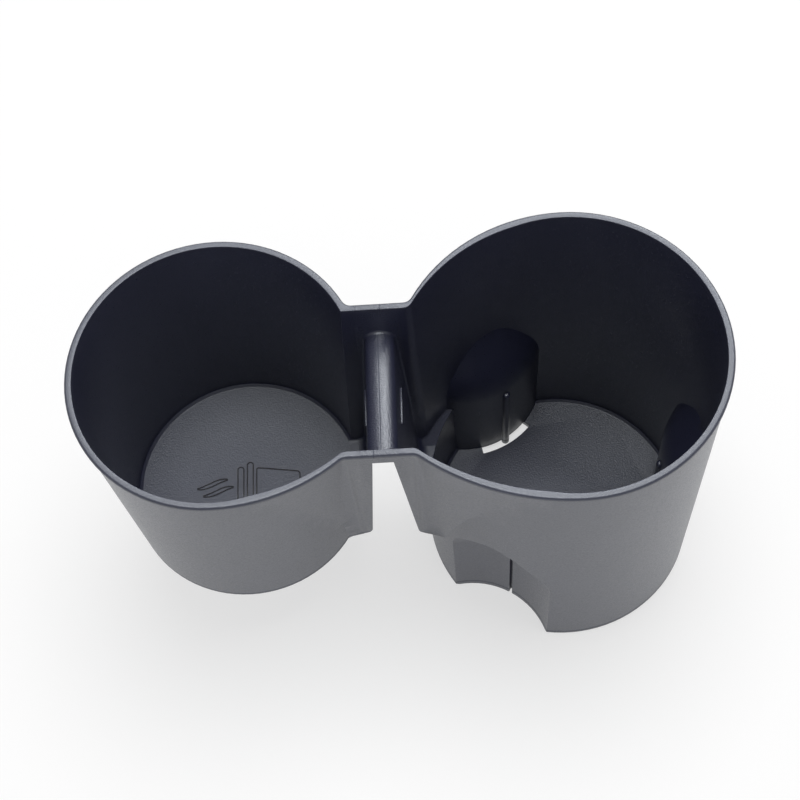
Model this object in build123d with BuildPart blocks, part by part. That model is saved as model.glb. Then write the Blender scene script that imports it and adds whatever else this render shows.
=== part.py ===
"""Double car cup holder: a tall cup and a short cup moulded in one piece with a saddle between them."""

import os
from math import cos, radians, sin, sqrt, tan

from build123d import *

os.makedirs("parts", exist_ok=True)

# Walls, rim bead and broken edges, in millimetres
wall = 1.5
rim_overhang = 0.6
rim_height = 1.6
rim_chamfer = 0.5
base_chamfer = 1.0
chamfer_lean = 45.0

# Tall cup: outside diameter of the rim, inside depth, floor, lean of the wall inside and outside in degrees
tall_diameter = 92.0
tall_depth = 123.0
tall_floor = 2.4
tall_draft = 0.8
tall_outer_draft = 0.4

# Short cup
short_diameter = 85.6
short_depth = 85.5
short_floor = 1.8
short_draft = 2.7

# Neck: gap between the two rims, inside faces at the rim and their leans, reach into the short cup
cup_gap = 14.2
neck_front = 27.6
neck_back = 16.6
neck_front_draft = 6.6
neck_back_draft = 1.6
neck_overlap = 6.3

# Extra depth of the neck beside the tall cup, rounding of its corners, start of its shoulders within the cups
bay_drop = 4.0
throat_round = 3.0
shoulder_inset = 0.4

# Saddle: the hollow ridge across the neck, its middle measured from the short cup's rim, falling to the back
saddle_gap = 4.7
saddle_width = 9.0
saddle_drop = 6.0
saddle_roof = 2.6
saddle_draft = 3.4
saddle_slope = 9.0
saddle_end_round = 1.0
saddle_foot_round = 5.0

# Pockets of the tall cup: upright bars with leaning tops, pushed in from outside to grip a bottle inside
grip_diameter = 65.4
pocket_angles = (0.0, 120.0, 237.5)
pocket_radius = 26.3
pocket_shoulder = 47.0
pocket_lean = 27.6
pocket_bend = 26.0

# Hollow rib up the middle of each bump and the curved slot in the floor at its foot
rib_radius = 1.35
rib_height = 39.0
groove_width = 1.0
slot_width = 2.4
slot_span = 38.0

rim_z = tall_depth + tall_floor
short_base_z = rim_z - short_depth - short_floor
tall_mouth = tall_diameter / 2 - rim_overhang - wall
short_mouth = short_diameter / 2 - rim_overhang - wall
cup_spacing = tall_diameter / 2 + cup_gap + short_diameter / 2
short_x = -(cup_spacing + tall_diameter / 2 - short_diameter / 2) / 2
tall_x = short_x + cup_spacing
short_throat_x = short_x + short_diameter / 2 - neck_overlap
tall_throat_x = tall_x - tall_diameter / 2
saddle_x = short_x + short_diameter / 2 + saddle_gap
pocket_place = grip_diameter / 2 + wall + pocket_radius
rim_plane = Plane.XY.offset(rim_z)
saddle_fall = radians(saddle_slope)
saddle_run = (0, -cos(saddle_fall), sin(saddle_fall))
saddle_plane = Plane((0, -neck_front, rim_z - saddle_drop), x_dir=(1, 0, 0), z_dir=saddle_run)


def round_plan(axis_x, radius):
    """Plan of a round cup at the rim."""
    with BuildSketch(rim_plane) as plan:
        with Locations((axis_x, 0)):
            Circle(radius)
    return plan.sketch


def front_plan(grow):
    """Front half of the neck: a shoulder from each cup's front and a straight run between them."""
    short_point = (short_x, shoulder_inset - short_mouth - grow)
    tall_point = (tall_x, shoulder_inset - tall_mouth - grow)
    short_corner = (short_throat_x, -neck_front - grow)
    tall_corner = (tall_throat_x, -neck_front - grow)
    with BuildSketch(rim_plane) as plan:
        with BuildLine():
            TangentArc(short_point, short_corner, tangent=(1, 0))
            Line(short_corner, tall_corner)
            TangentArc(tall_point, tall_corner, tangent=(-1, 0))
            Polyline(tall_point, (tall_x, neck_back / 2), (short_x, neck_back / 2), short_point)
        make_face()
        fillet(plan.vertices().sort_by_distance((saddle_x, -neck_front))[:2], radius=throat_round)
    return plan.sketch


def back_plan(grow):
    """Back half of the neck: a straight run out of the short cup and a shoulder to the tall cup."""
    tall_point = (tall_x, tall_mouth + grow - shoulder_inset)
    tall_corner = (tall_throat_x, neck_back + grow)
    short_end = (short_x, neck_back + grow)
    with BuildSketch(rim_plane) as plan:
        with BuildLine():
            TangentArc(tall_point, tall_corner, tangent=(-1, 0))
            Line(tall_corner, short_end)
            Polyline(short_end, (short_x, -neck_back / 2), (tall_x, -neck_back / 2), tall_point)
        make_face()
        fillet(plan.vertices().sort_by_distance(tall_corner)[:1], radius=throat_round)
    return plan.sketch


def rim_plan(grow):
    """Whole outline of the rim round both cups and the neck, one smooth run of arcs and lines."""
    short_radius = short_mouth + grow
    tall_radius = tall_mouth + grow
    front = -neck_front - grow
    back = neck_back + grow
    short_back = (short_x + sqrt(short_radius**2 - back**2), back)
    with BuildSketch(rim_plane) as plan:
        with BuildLine():
            ThreePointArc((short_x, -short_radius), (short_x - short_radius, 0), short_back)
            Line(short_back, (tall_throat_x, back))
            TangentArc((tall_x, tall_radius), (tall_throat_x, back), tangent=(-1, 0))
            ThreePointArc((tall_x, tall_radius), (tall_x + tall_radius, 0), (tall_x, -tall_radius))
            TangentArc((tall_x, -tall_radius), (tall_throat_x, front), tangent=(-1, 0))
            Line((tall_throat_x, front), (short_throat_x, front))
            TangentArc((short_x, -short_radius), (short_throat_x, front), tangent=(1, 0))
        make_face()
        fillet(plan.vertices().sort_by_distance((saddle_x, 0))[:4], radius=throat_round)
    return plan.sketch


def drafted(plan, reach, draft, edge=0):
    """Solid below a plan at the rim, its walls leaning in, its lower edge broken where edge is given."""
    with BuildPart() as shape:
        extrude(plan, amount=reach - edge, taper=draft)
        if edge:
            extrude(shape.faces().sort_by(Axis.Z)[-1], amount=edge, taper=chamfer_lean)
        mirror(about=rim_plane, mode=Mode.REPLACE)
    return shape.part


def cups(grow, tall_reach, tall_lean, short_reach):
    """Both cups from the rim down: their spaces as they are, their outsides when grown by the wall."""
    with BuildPart() as shape:
        add(drafted(round_plan(tall_x, tall_mouth + grow), tall_reach, tall_lean, base_chamfer))
        add(drafted(round_plan(short_x, short_mouth + grow), short_reach, short_draft, base_chamfer))
    return shape.part


def neck(grow, reach):
    """Neck from the rim down, leaning in at front and back, deeper on the tall cup's side of the saddle."""
    short_side = (Align.MAX, Align.CENTER, Align.MAX)
    with BuildPart() as shape:
        add(drafted(front_plan(grow), reach + bay_drop, neck_front_draft))
        add(drafted(back_plan(grow), reach + bay_drop, neck_back_draft))
        with Locations((saddle_x, 0, rim_z - reach)):
            Box(cup_spacing, 2 * tall_diameter, 2 * bay_drop, align=short_side, mode=Mode.SUBTRACT)
    return shape.part


def saddle_flanks(half, top):
    """Points of the saddle's flanks across its run, from the top left round below to the top right."""
    foot = top - tall_depth
    spread = half + tall_depth * tan(radians(saddle_draft))
    return [
        (saddle_x - half, top),
        (saddle_x - spread, foot),
        (saddle_x + spread, foot),
        (saddle_x + half, top),
    ]


def saddle_feet(shape):
    """The two edges along the feet of the saddle's flanks."""
    return shape.edges().sort_by_distance((saddle_x, 0, short_base_z))[:2]


def around_tall_cup(shape, place):
    """Copies of a shape drawn at the origin, set round the tall cup's axis at the pockets' angles."""
    with BuildPart() as ring:
        with Locations((tall_x, 0)):
            for angle in pocket_angles:
                with PolarLocations(place, 1, start_angle=angle):
                    add(shape)
    return ring.part


def bullets(grow, foot):
    """Upright round bars with leaning tops: the pockets as they are, the bumps when grown by the wall."""
    radius = pocket_radius + grow
    shoulder = pocket_shoulder + grow * tan(radians(pocket_lean / 2))
    tip = shoulder + radius / tan(radians(pocket_lean))
    with BuildPart() as bar:
        with BuildSketch(Plane.XZ):
            with BuildLine():
                Polyline((0, tip), (0, foot), (radius, foot))
                FilletPolyline((radius, foot), (radius, shoulder), (0, tip), radius=pocket_bend + grow)
            make_face()
        revolve(axis=Axis.Z)
    return around_tall_cup(bar.part, pocket_place)


def ribs():
    """Blunt-topped ribs up the middle of the bumps."""
    with BuildPart() as rib:
        Cylinder(rib_radius, rib_height, align=(Align.CENTER, Align.CENTER, Align.MIN))
        chamfer(rib.edges().group_by(Axis.Z)[-1], length=rib_radius / 2)
    return around_tall_cup(rib.part, grip_diameter / 2)


def grooves():
    """Narrow grooves up the outside of the bumps, hollowing out the ribs."""
    with BuildPart() as groove:
        Box(2 * wall, groove_width, rib_height - wall, align=(Align.MIN, Align.CENTER, Align.MIN))
    return around_tall_cup(groove.part, grip_diameter / 2)


def floor_slots():
    """Curved slots through the floor along the feet of the bumps, with a stub left below each rib."""
    start = 180 - slot_span / 2
    with BuildPart() as slot:
        with BuildSketch():
            with BuildLine():
                far = CenterArc((0, 0), pocket_radius + wall + slot_width, start, slot_span)
                near = CenterArc((0, 0), pocket_radius + wall / 2, start, slot_span)
                Line(far @ 0, near @ 0)
                Line(far @ 1, near @ 1)
            make_face()
            with Locations((-pocket_radius - wall, 0)):
                Circle(rib_radius, mode=Mode.SUBTRACT)
        extrude(amount=tall_floor)
    return around_tall_cup(slot.part, pocket_place)


# Space of the neck, with the saddle left standing, its feet rounded and its ends blended into the walls
with BuildPart() as neck_space:
    add(neck(0, short_depth))
    ridge_half = saddle_width / 2
    ridge_lean = radians(saddle_draft)
    ridge_sides = saddle_flanks(ridge_half * cos(ridge_lean), ridge_half * (sin(ridge_lean) - 1))
    with BuildSketch(saddle_plane):
        with BuildLine():
            Polyline(ridge_sides)
            ThreePointArc(ridge_sides[-1], (saddle_x, 0), ridge_sides[0])
        make_face()
    extrude(amount=tall_diameter, both=True, mode=Mode.SUBTRACT)
    fillet(saddle_feet(neck_space), radius=saddle_foot_round - wall)
    ridge = neck_space.faces().filter_by(GeomType.CYLINDER).sort_by(Axis.Z)[-1]
    fillet(ridge.edges().filter_by(GeomType.ELLIPSE), radius=saddle_end_round)

# Space inside both cups and the neck, with the bumps and their ribs left standing
with BuildPart() as inside:
    add(cups(0, tall_depth, tall_draft, short_depth))
    add(neck_space.part)
    add(bullets(wall, 0), mode=Mode.SUBTRACT)
    add(ribs(), mode=Mode.SUBTRACT)

# Rim bead, a flat band round the mouth with its top edge broken
with BuildPart() as bead:
    extrude(rim_plan(wall + rim_overhang), amount=-rim_height)
    chamfer(bead.edges().group_by(Axis.Z)[-1], length=rim_chamfer)

# The moulding: outside of the body with the rim bead, less the slot, the pockets and the space inside
with BuildPart() as cup_holder:
    add(cups(wall, tall_depth + tall_floor, tall_outer_draft, short_depth + short_floor))
    add(neck(wall, short_depth + short_floor))
    add(bead.part)

    with BuildSketch(saddle_plane):
        with BuildLine():
            Polyline(saddle_flanks(ridge_half - wall, -saddle_roof), close=True)
        make_face()
    extrude(amount=tall_diameter, both=True, mode=Mode.SUBTRACT)
    fillet(saddle_feet(cup_holder), radius=saddle_foot_round)

    add(bullets(0, -wall), mode=Mode.SUBTRACT)
    add(inside.part, mode=Mode.SUBTRACT)
    add(drafted(rim_plan(rim_chamfer), rim_chamfer, chamfer_lean), mode=Mode.SUBTRACT)
    add(grooves(), mode=Mode.SUBTRACT)
    add(floor_slots(), mode=Mode.SUBTRACT)

cup_holder.part.label = "cup_holder"
export_step(cup_holder.part, "parts/cup_holder.step")
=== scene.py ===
import math

import bpy
from mathutils import Matrix, Vector
from mathutils.bvhtree import BVHTree


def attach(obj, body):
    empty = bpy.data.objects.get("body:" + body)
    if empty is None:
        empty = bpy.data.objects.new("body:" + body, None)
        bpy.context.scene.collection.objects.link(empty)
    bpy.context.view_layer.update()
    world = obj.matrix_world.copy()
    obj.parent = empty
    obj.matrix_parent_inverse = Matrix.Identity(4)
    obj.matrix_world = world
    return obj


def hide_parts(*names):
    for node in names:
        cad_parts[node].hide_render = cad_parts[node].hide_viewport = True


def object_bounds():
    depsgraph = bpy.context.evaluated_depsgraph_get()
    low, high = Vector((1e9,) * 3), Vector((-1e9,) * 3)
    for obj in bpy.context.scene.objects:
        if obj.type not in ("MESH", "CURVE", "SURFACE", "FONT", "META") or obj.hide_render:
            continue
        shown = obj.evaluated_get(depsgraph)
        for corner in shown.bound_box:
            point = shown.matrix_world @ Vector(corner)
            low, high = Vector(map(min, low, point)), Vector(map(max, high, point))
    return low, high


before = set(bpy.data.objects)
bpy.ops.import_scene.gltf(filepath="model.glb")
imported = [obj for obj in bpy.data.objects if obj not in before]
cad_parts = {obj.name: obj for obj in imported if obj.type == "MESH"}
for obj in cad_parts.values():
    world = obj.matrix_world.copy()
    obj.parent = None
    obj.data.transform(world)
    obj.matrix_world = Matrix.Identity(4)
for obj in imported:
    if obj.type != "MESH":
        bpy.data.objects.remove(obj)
cad_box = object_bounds()

# The moulding itself: both cups, the neck, the saddle and the rim bead in one shot of dark blue-grey plastic.
# It is a welded copy of the solid with every edge eased by a fifth of a millimetre, as a polished mould leaves
# it. A point that the easing throws out where edges crowd together goes back onto the solid.
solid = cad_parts["cup_holder"]
weld_gap = 0.00002
easing_width = 0.00022
stray_gap = 0.0001
bpy.ops.object.select_all(action="DESELECT")
moulding = bpy.data.objects.new("moulding", solid.data.copy())
bpy.context.scene.collection.objects.link(moulding)
bpy.context.view_layer.objects.active = moulding
moulding.select_set(True)
bpy.ops.object.mode_set(mode="EDIT")
bpy.ops.mesh.select_all(action="SELECT")
bpy.ops.mesh.customdata_custom_splitnormals_clear()
bpy.ops.mesh.remove_doubles(threshold=weld_gap)
bpy.ops.mesh.dissolve_degenerate(threshold=weld_gap)
bpy.ops.mesh.normals_make_consistent(inside=False)
bpy.ops.object.mode_set(mode="OBJECT")
easing = moulding.modifiers.new("eased_edges", "BEVEL")
easing.limit_method = "ANGLE"
easing.angle_limit = math.radians(28)
easing.width = easing_width
easing.segments = 3
easing.use_clamp_overlap = False
bpy.ops.object.modifier_apply(modifier="eased_edges")
solid_skin = BVHTree.FromObject(solid, bpy.context.evaluated_depsgraph_get())
for point in moulding.data.vertices:
    nearest, _, _, gap = solid_skin.find_nearest(point.co)
    if gap > stray_gap:
        point.co = nearest
    point.co.z = min(point.co.z, cad_box[1][2])
bpy.ops.object.shade_smooth_by_angle(angle=math.radians(34))

# The walls are true cones, so their shading follows the cone and not the small flats of the mesh.
# Each is given by its upright axis, its radius at the rim, its lean, and which side the plastic is on.
rim_level = 0.1254
tall_axis = 0.0499
short_axis = -0.0531
bar_reach = 0.0605
bar_radius = 0.0263
wall = 0.0015
on_the_cone = 0.00006
facing_alike = 0.966
cones = [
    (tall_axis, 0.0, 0.0454, 0.4, 1),
    (tall_axis, 0.0, 0.0439, 0.8, -1),
    (short_axis, 0.0, 0.0422, 2.7, 1),
    (short_axis, 0.0, 0.0407, 2.7, -1),
    (short_axis, 0.0170, 0.0588, 6.6, 1),
    (short_axis, 0.0185, 0.0588, 6.6, -1),
    (tall_axis, 0.02949, 0.07449, 6.6, 1),
    (tall_axis, 0.03099, 0.07449, 6.6, -1),
    (tall_axis, -0.00778, 0.05278, 1.6, 1),
    (tall_axis, -0.00928, 0.05278, 1.6, -1),
]
for angle in (0.0, 120.0, 237.5):
    bar_x = tall_axis + bar_reach * math.cos(math.radians(angle))
    bar_y = bar_reach * math.sin(math.radians(angle))
    cones.append((bar_x, bar_y, bar_radius + wall, 0.0, 1))
    cones.append((bar_x, bar_y, bar_radius, 0.0, -1))
shading = [corner.vector.copy() for corner in moulding.data.corner_normals]
for face in moulding.data.polygons:
    for corner in face.loop_indices:
        spot = moulding.data.vertices[moulding.data.loops[corner].vertex_index].co
        for axis_x, axis_y, mouth, lean, side in cones:
            fall = math.tan(math.radians(lean))
            outward = Vector((spot.x - axis_x, spot.y - axis_y, 0.0))
            if abs(outward.length - mouth + (rim_level - spot.z) * fall) < on_the_cone:
                outward.z = -outward.length * fall
                outward = outward.normalized() * side
                if outward.dot(face.normal) > facing_alike:
                    shading[corner] = outward
moulding.data.normals_split_custom_set(shading)

# The plastic: dark blue-grey with a fine spark-eroded grain, coarser on the floors and the saddle and duller on
# the rim and on the ledge beside the tall cup. Hairlines of the mould's halves run along the saddle and across
# the rim, and a few specks of dust lie about.
plastic = bpy.data.materials.new("grained_dark_plastic")
plastic.use_nodes = True
nodes = plastic.node_tree.nodes
links = plastic.node_tree.links
surface = nodes["Principled BSDF"]
surface.inputs["IOR"].default_value = 1.85
surface.inputs["Specular Tint"].default_value = (0.94, 0.985, 1.0, 1.0)
coordinates = nodes.new("ShaderNodeTexCoord")
position = nodes.new("ShaderNodeSeparateXYZ")
links.new(coordinates.outputs["Object"], position.inputs["Vector"])


def combine(operation, first, second):
    node = nodes.new("ShaderNodeMath")
    node.operation = operation
    for socket, value in zip(node.inputs, (first, second)):
        if isinstance(value, float):
            socket.default_value = value
        else:
            links.new(value, socket)
    return node.outputs["Value"]


def ramp(value, low, high, at_low, at_high):
    node = nodes.new("ShaderNodeMapRange")
    node.inputs["From Min"].default_value = low
    node.inputs["From Max"].default_value = high
    node.inputs["To Min"].default_value = at_low
    node.inputs["To Max"].default_value = at_high
    links.new(value, node.inputs["Value"])
    return node.outputs["Result"]


def band(value, middle, half, edge):
    away = combine("ABSOLUTE", combine("SUBTRACT", value, middle), 0.0)
    return ramp(away, half, half + edge, 1.0, 0.0)


height = position.outputs["Z"]
across = position.outputs["X"]
depth = position.outputs["Y"]
saddle_middle = -0.0056
saddle_grain = 1.6
short_side = combine("LESS_THAN", across, -0.0100)
tall_floor = band(height, 0.0026, 0.0004, 0.0003)
short_floor = combine("MULTIPLY", band(height, 0.0401, 0.0004, 0.0003), short_side)
saddle = combine("MULTIPLY", band(across, saddle_middle, 0.0060, 0.0010), ramp(height, 0.0900, 0.1000, 0.0, 1.0))
floors = combine("ADD", tall_floor, short_floor)
coarse = combine("MAXIMUM", floors, combine("MULTIPLY", saddle, saddle_grain))

cloud = nodes.new("ShaderNodeTexNoise")
cloud.inputs["Scale"].default_value = 38.0
cloud.inputs["Detail"].default_value = 4.0
links.new(coordinates.outputs["Object"], cloud.inputs["Vector"])
tint = nodes.new("ShaderNodeValToRGB")
tint.color_ramp.elements[0].position = 0.30
tint.color_ramp.elements[0].color = (0.0195, 0.0212, 0.0450, 1.0)
tint.color_ramp.elements[1].position = 0.72
tint.color_ramp.elements[1].color = (0.0255, 0.0275, 0.0550, 1.0)
links.new(cloud.outputs["Fac"], tint.inputs["Fac"])

dust = nodes.new("ShaderNodeTexVoronoi")
dust.inputs["Scale"].default_value = 75.0
links.new(coordinates.outputs["Object"], dust.inputs["Vector"])
dust_pick = nodes.new("ShaderNodeSeparateColor")
links.new(dust.outputs["Color"], dust_pick.inputs["Color"])
dust_size = ramp(dust_pick.outputs["Red"], 0.55, 1.0, 0.0, 0.022)
dusty = nodes.new("ShaderNodeMix")
dusty.data_type = "RGBA"
links.new(combine("LESS_THAN", dust.outputs["Distance"], dust_size), dusty.inputs["Factor"])
links.new(tint.outputs["Color"], dusty.inputs["A"])
dusty.inputs["B"].default_value = (0.16, 0.16, 0.17, 1.0)
links.new(dusty.outputs["Result"], surface.inputs["Base Color"])

grain = nodes.new("ShaderNodeTexNoise")
grain.inputs["Scale"].default_value = 1700.0
grain.inputs["Detail"].default_value = 3.0
grain.inputs["Roughness"].default_value = 0.6
links.new(coordinates.outputs["Object"], grain.inputs["Vector"])
satin = ramp(grain.outputs["Fac"], 0.30, 0.70, 0.27, 0.40)
rim_finish = ramp(height, 0.1236, 0.1240, 0.0, 0.12)
saddle_top = 0.1215
saddle_low_end = 0.1085
below_rim = combine("LESS_THAN", height, saddle_top)
at_rim = combine("GREATER_THAN", height, saddle_top)
saddle_line = combine("MULTIPLY", band(across, -0.0060, 0.00012, 0.00010), below_rim)
saddle_line = combine("MULTIPLY", saddle_line, band(depth, -0.0053, 0.0202, 0.0002))
rim_slant = combine("SUBTRACT", across, combine("MULTIPLY", depth, 0.068))
rim_line = combine("MULTIPLY", band(rim_slant, -0.0058, 0.00006, 0.00008), at_rim)
hairline = combine("ADD", saddle_line, rim_line)
hairline = combine("MULTIPLY", hairline, combine("GREATER_THAN", height, saddle_low_end))
ledge = combine("MULTIPLY", band(height, 0.0361, 0.0005, 0.0002), band(across, 0.0100, 0.0055, 0.0002))
ledge = combine("MULTIPLY", ledge, band(depth, 0.0185, 0.0064, 0.0002))
finish = combine("ADD", satin, rim_finish)
for dull_area, extra_roughness in ((floors, 0.20), (ledge, 0.55), (hairline, 0.45)):
    finish = combine("ADD", finish, combine("MULTIPLY", dull_area, extra_roughness))
links.new(finish, surface.inputs["Roughness"])

grain_depth = combine("MULTIPLY", grain.outputs["Fac"], ramp(coarse, 0.0, saddle_grain, 0.35, 1.75))
relief = nodes.new("ShaderNodeBump")
relief.inputs["Strength"].default_value = 0.40
relief.inputs["Distance"].default_value = 0.00030
links.new(combine("SUBTRACT", grain_depth, hairline), relief.inputs["Height"])
links.new(relief.outputs["Normal"], surface.inputs["Normal"])

moulding.data.materials.clear()
moulding.data.materials.append(plastic)
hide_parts("cup_holder")
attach(moulding, "root")

# Two short ribs, one on each flank of the saddle, moulded with the rest and falling to the back with it.
# Each is a slim bar with rounded ends, let into the flank and standing four tenths of a millimetre proud.
rib_size = (0.0008, 0.0130, 0.0006)
rib_reach = 0.00525
saddle_slope = 9.0
flank_lean = 3.4
flank_ribs = []
for side in (-1.0, 1.0):
    bpy.ops.object.select_all(action="DESELECT")
    bpy.ops.mesh.primitive_cube_add(size=1.0, location=(saddle_middle + side * rib_reach, -0.0020, 0.09845))
    rib = bpy.context.active_object
    rib.scale = rib_size
    rib.rotation_euler = (math.radians(-saddle_slope), math.radians(side * -flank_lean), 0.0)
    bpy.ops.object.transform_apply(location=True, rotation=True, scale=True)
    bpy.ops.object.mode_set(mode="EDIT")
    bpy.ops.mesh.select_all(action="SELECT")
    bpy.ops.mesh.bevel(offset=0.0002, segments=3, affect="EDGES")
    bpy.ops.object.mode_set(mode="OBJECT")
    flank_ribs.append(rib)
bpy.ops.object.select_all(action="DESELECT")
for rib in flank_ribs:
    rib.select_set(True)
bpy.ops.object.join()
ribs = bpy.context.active_object
ribs.name = "flank_ribs"
bpy.ops.object.shade_smooth_by_angle(angle=math.radians(40))
ribs.data.materials.append(plastic)
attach(ribs, "root")

# Hot drink sign on the short cup's floor: a lidded cup lying on its side with two curls of steam.
# Fine raised outlines moulded with the floor and polished in the mould. They look darker than the grain round them
# partly from the polish and partly from painted shade: their colour is set darker than the plastic's.
sign_floor = 0.0399
sign_y = -0.0025
line_width = 0.00042
line_height = 0.00022
sign_parts = []


def outline_of(piece):
    bpy.ops.object.mode_set(mode="EDIT")
    bpy.ops.mesh.select_mode(type="FACE")
    bpy.ops.mesh.select_all(action="SELECT")
    bpy.ops.mesh.inset(thickness=line_width, depth=0.0)
    bpy.ops.mesh.delete(type="FACE")
    bpy.ops.mesh.select_all(action="SELECT")
    bpy.ops.mesh.extrude_region_move(TRANSFORM_OT_translate={"value": (0.0, 0.0, line_height)})
    bpy.ops.mesh.select_all(action="SELECT")
    bpy.ops.mesh.normals_make_consistent(inside=False)
    bpy.ops.object.mode_set(mode="OBJECT")
    sign_parts.append(piece)


def flat_piece(name, middle_x, middle_y, length, width):
    bpy.ops.object.select_all(action="DESELECT")
    bpy.ops.mesh.primitive_plane_add(size=1.0, location=(middle_x, middle_y, sign_floor))
    piece = bpy.context.active_object
    piece.name = name
    piece.scale = (length, width, 1.0)
    bpy.ops.object.transform_apply(location=True, rotation=False, scale=True)
    return piece


def round_corners(piece, radius):
    bpy.ops.object.mode_set(mode="EDIT")
    bpy.ops.mesh.select_all(action="SELECT")
    bpy.ops.mesh.bevel(offset=radius, segments=6, affect="VERTICES", clamp_overlap=False)
    bpy.ops.object.mode_set(mode="OBJECT")


for lid_x, lid_length in ((-0.05625, 0.0179), (-0.0531, 0.0210)):
    lid = flat_piece("sign_lid", lid_x, sign_y, 0.0024, lid_length)
    round_corners(lid, 0.00115)
    outline_of(lid)

body_x = -0.0438
base_taper = 0.75
body = flat_piece("sign_body", body_x, sign_y, 0.0148, 0.0171)
for corner in body.data.vertices:
    if corner.co.x > body_x:
        corner.co.y = sign_y + (corner.co.y - sign_y) * base_taper
round_corners(body, 0.0010)
outline_of(body)

curl_length = 0.0102
curl_sway = 0.0014
for curl_x, curl_y in ((-0.0657, 0.0006), (-0.0637, -0.0021)):
    curl = flat_piece("sign_steam", curl_x, curl_y, curl_length, 0.0019)
    bpy.ops.object.mode_set(mode="EDIT")
    bpy.ops.mesh.select_all(action="SELECT")
    bpy.ops.mesh.subdivide(number_cuts=20)
    bpy.ops.object.mode_set(mode="OBJECT")
    for point in curl.data.vertices:
        along_curl = (point.co.x - curl_x) / curl_length
        swell = 1.0 - 2.6 * along_curl * along_curl
        sway = curl_sway * math.sin(math.pi * along_curl)
        point.co.y = curl_y + (point.co.y - curl_y) * swell + sway
    bpy.ops.object.mode_set(mode="EDIT")
    bpy.ops.mesh.select_all(action="SELECT")
    bpy.ops.mesh.dissolve_limited(angle_limit=math.radians(1.0), use_dissolve_boundaries=False)
    bpy.ops.object.mode_set(mode="OBJECT")
    outline_of(curl)

bpy.ops.object.select_all(action="DESELECT")
for piece in sign_parts:
    piece.select_set(True)
bpy.context.view_layer.objects.active = sign_parts[0]
bpy.ops.object.join()
sign = bpy.context.active_object
sign.name = "hot_drink_sign"
polished = bpy.data.materials.new("polished_plastic_painted_shade")
polished.use_nodes = True
shine = polished.node_tree.nodes["Principled BSDF"]
shine.inputs["IOR"].default_value = 1.50
# Painted shade: the outlines' colour is darker than the plastic round them, standing in for the shade along the
# fine lines.
shine.inputs["Base Color"].default_value = (0.0080, 0.0085, 0.0150, 1.0)
scuff_place = polished.node_tree.nodes.new("ShaderNodeTexCoord")
scuff = polished.node_tree.nodes.new("ShaderNodeTexNoise")
scuff.inputs["Scale"].default_value = 900.0
polished.node_tree.links.new(scuff_place.outputs["Object"], scuff.inputs["Vector"])
scuffed = polished.node_tree.nodes.new("ShaderNodeMapRange")
scuffed.inputs["To Min"].default_value = 0.14
scuffed.inputs["To Max"].default_value = 0.30
polished.node_tree.links.new(scuff.outputs["Fac"], scuffed.inputs["Value"])
polished.node_tree.links.new(scuffed.outputs["Result"], shine.inputs["Roughness"])
sign.data.materials.clear()
sign.data.materials.append(polished)
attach(sign, "root")

# White table top that the holder stands on: a plain matt sheet, one plane with its far corners rounded off.
# It glows faintly, as paper on a light table does, so that the shadows on it stay pale. In the shine of the cups
# it glows less and its shadow counts for more.
bpy.ops.object.select_all(action="DESELECT")
bpy.ops.mesh.primitive_plane_add(size=6.0, location=(0.0, 0.0, 0.0))
table = bpy.context.active_object
table.name = "table_top"
bpy.ops.object.mode_set(mode="EDIT")
bpy.ops.mesh.select_all(action="SELECT")
bpy.ops.mesh.bevel(offset=0.8, segments=8, affect="VERTICES")
bpy.ops.object.mode_set(mode="OBJECT")
white = bpy.data.materials.new("white_table")
white.use_nodes = True
sheet = white.node_tree.nodes["Principled BSDF"]
sheet.inputs["Roughness"].default_value = 0.9
sheet.inputs["Specular IOR Level"].default_value = 0.0
sheet.inputs["Emission Color"].default_value = (1.0, 1.0, 1.0, 1.0)
seen = white.node_tree.nodes.new("ShaderNodeLightPath")
paleness = white.node_tree.nodes.new("ShaderNodeMapRange")
paleness.inputs["To Min"].default_value = 0.42
paleness.inputs["To Max"].default_value = 0.68
white.node_tree.links.new(seen.outputs["Is Glossy Ray"], paleness.inputs["Value"])
white.node_tree.links.new(paleness.outputs["Result"], sheet.inputs["Base Color"])
mirrored_glow = white.node_tree.nodes.new("ShaderNodeMath")
mirrored_glow.operation = "MULTIPLY"
mirrored_glow.inputs[1].default_value = 0.38
white.node_tree.links.new(seen.outputs["Is Glossy Ray"], mirrored_glow.inputs[0])
glow = white.node_tree.nodes.new("ShaderNodeMath")
glow.operation = "MULTIPLY_ADD"
glow.inputs[1].default_value = 0.58
white.node_tree.links.new(seen.outputs["Is Camera Ray"], glow.inputs[0])
white.node_tree.links.new(mirrored_glow.outputs["Value"], glow.inputs[2])
white.node_tree.links.new(glow.outputs["Value"], sheet.inputs["Emission Strength"])
table.data.materials.append(white)

# Soft studio light in a pale room: a broad lamp overhead for the matt colour and the shadow, and three white cards
# that show only in the shine. One draws the bright stripe along the saddle, one lights the floors and one the rim.
lamps = (
    ("overhead_lamp", "DISK", (0.08, 0.16, 1.05), 0.60, 6.1, False),
    ("saddle_card", "SQUARE", (0.56, 0.82, 0.92), 0.62, 11.5, True),
    ("floor_card", "DISK", (-0.03, 0.00, 1.05), 0.54, 5.6, True),
    ("rim_card", "SQUARE", (-0.10, 0.72, 1.00), 0.50, 4.0, True),
)
aim = Vector((0.0, 0.0, 0.1))
for name, shape, stand, size, power, only_shine in lamps:
    bpy.ops.object.light_add(type="AREA", location=stand)
    lamp = bpy.context.active_object
    lamp.name = name
    lamp.data.shape = shape
    lamp.data.size = size
    lamp.data.energy = power
    lamp.rotation_euler = (aim - lamp.location).to_track_quat("-Z", "Y").to_euler()
    lamp.visible_diffuse = not only_shine
    lamp.visible_glossy = only_shine
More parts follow.
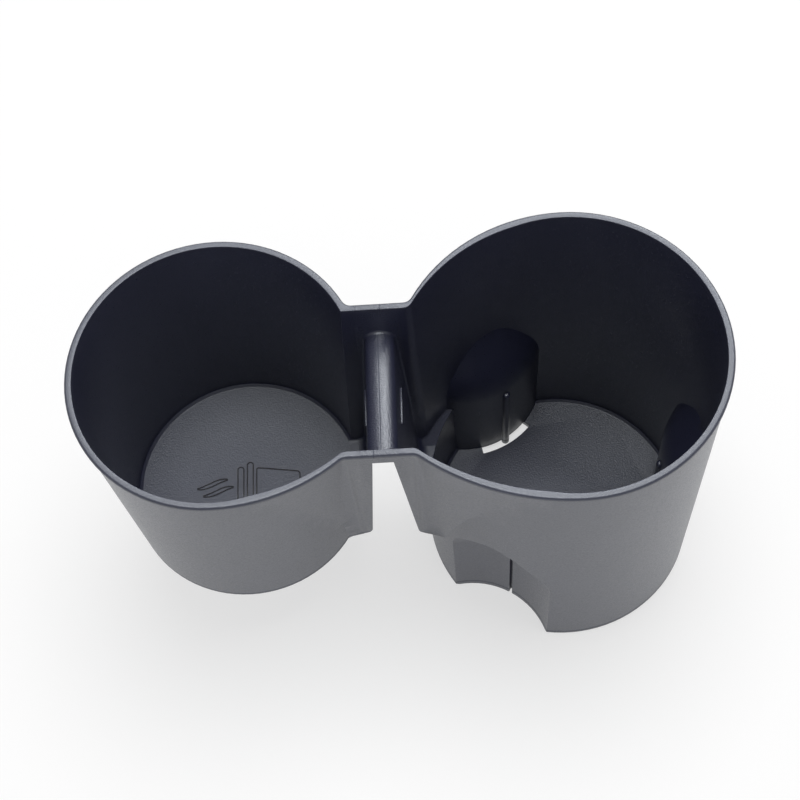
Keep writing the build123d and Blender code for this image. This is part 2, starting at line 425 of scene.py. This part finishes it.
room = bpy.data.worlds.new("pale_room")
room.use_nodes = True
room_light = room.node_tree.nodes["Background"]
room_light.inputs["Color"].default_value = (1.0, 1.0, 1.0, 1.0)
looked_at = room.node_tree.nodes.new("ShaderNodeLightPath")
brightness = room.node_tree.nodes.new("ShaderNodeMapRange")
brightness.inputs["To Min"].default_value = 0.55
brightness.inputs["To Max"].default_value = 0.40
room.node_tree.links.new(looked_at.outputs["Is Glossy Ray"], brightness.inputs["Value"])
backdrop = room.node_tree.nodes.new("ShaderNodeMath")
backdrop.operation = "MULTIPLY"
backdrop.inputs[1].default_value = 0.84
room.node_tree.links.new(looked_at.outputs["Is Camera Ray"], backdrop.inputs[0])
seen_room = room.node_tree.nodes.new("ShaderNodeMath")
seen_room.operation = "MAXIMUM"
room.node_tree.links.new(backdrop.outputs["Value"], seen_room.inputs[0])
room.node_tree.links.new(brightness.outputs["Result"], seen_room.inputs[1])
room.node_tree.links.new(seen_room.outputs["Value"], room_light.inputs["Strength"])
bpy.context.scene.world = room

# The photograph's camera: nearly overhead, tipped and slightly rolled, with a short telephoto lens.
yaw = math.radians(-3.63)
pitch = math.radians(64.59)
roll = math.radians(-6.50)
ahead = Vector((math.sin(yaw) * math.cos(pitch), math.cos(yaw) * math.cos(pitch), -math.sin(pitch)))
level = Vector((math.cos(yaw), -math.sin(yaw), 0.0))
upright = level.cross(ahead)
right = math.cos(roll) * level + math.sin(roll) * upright
up = math.cos(roll) * upright - math.sin(roll) * level
focal_pixels = 1697.8
picture_pixels = 800.0
view = bpy.data.cameras.new("photo_camera")
view.sensor_fit = "HORIZONTAL"
view.sensor_width = 36.0
view.lens = focal_pixels / picture_pixels * view.sensor_width
view.clip_start = 0.01
camera = bpy.data.objects.new("photo_camera", view)
bpy.context.scene.collection.objects.link(camera)
turn = Matrix((right, up, -ahead)).transposed().to_4x4()
camera.matrix_world = Matrix.Translation((0.01323, -0.21770, 0.55764)) @ turn
bpy.context.scene.camera = camera
bpy.context.scene.view_settings.view_transform = "Standard"
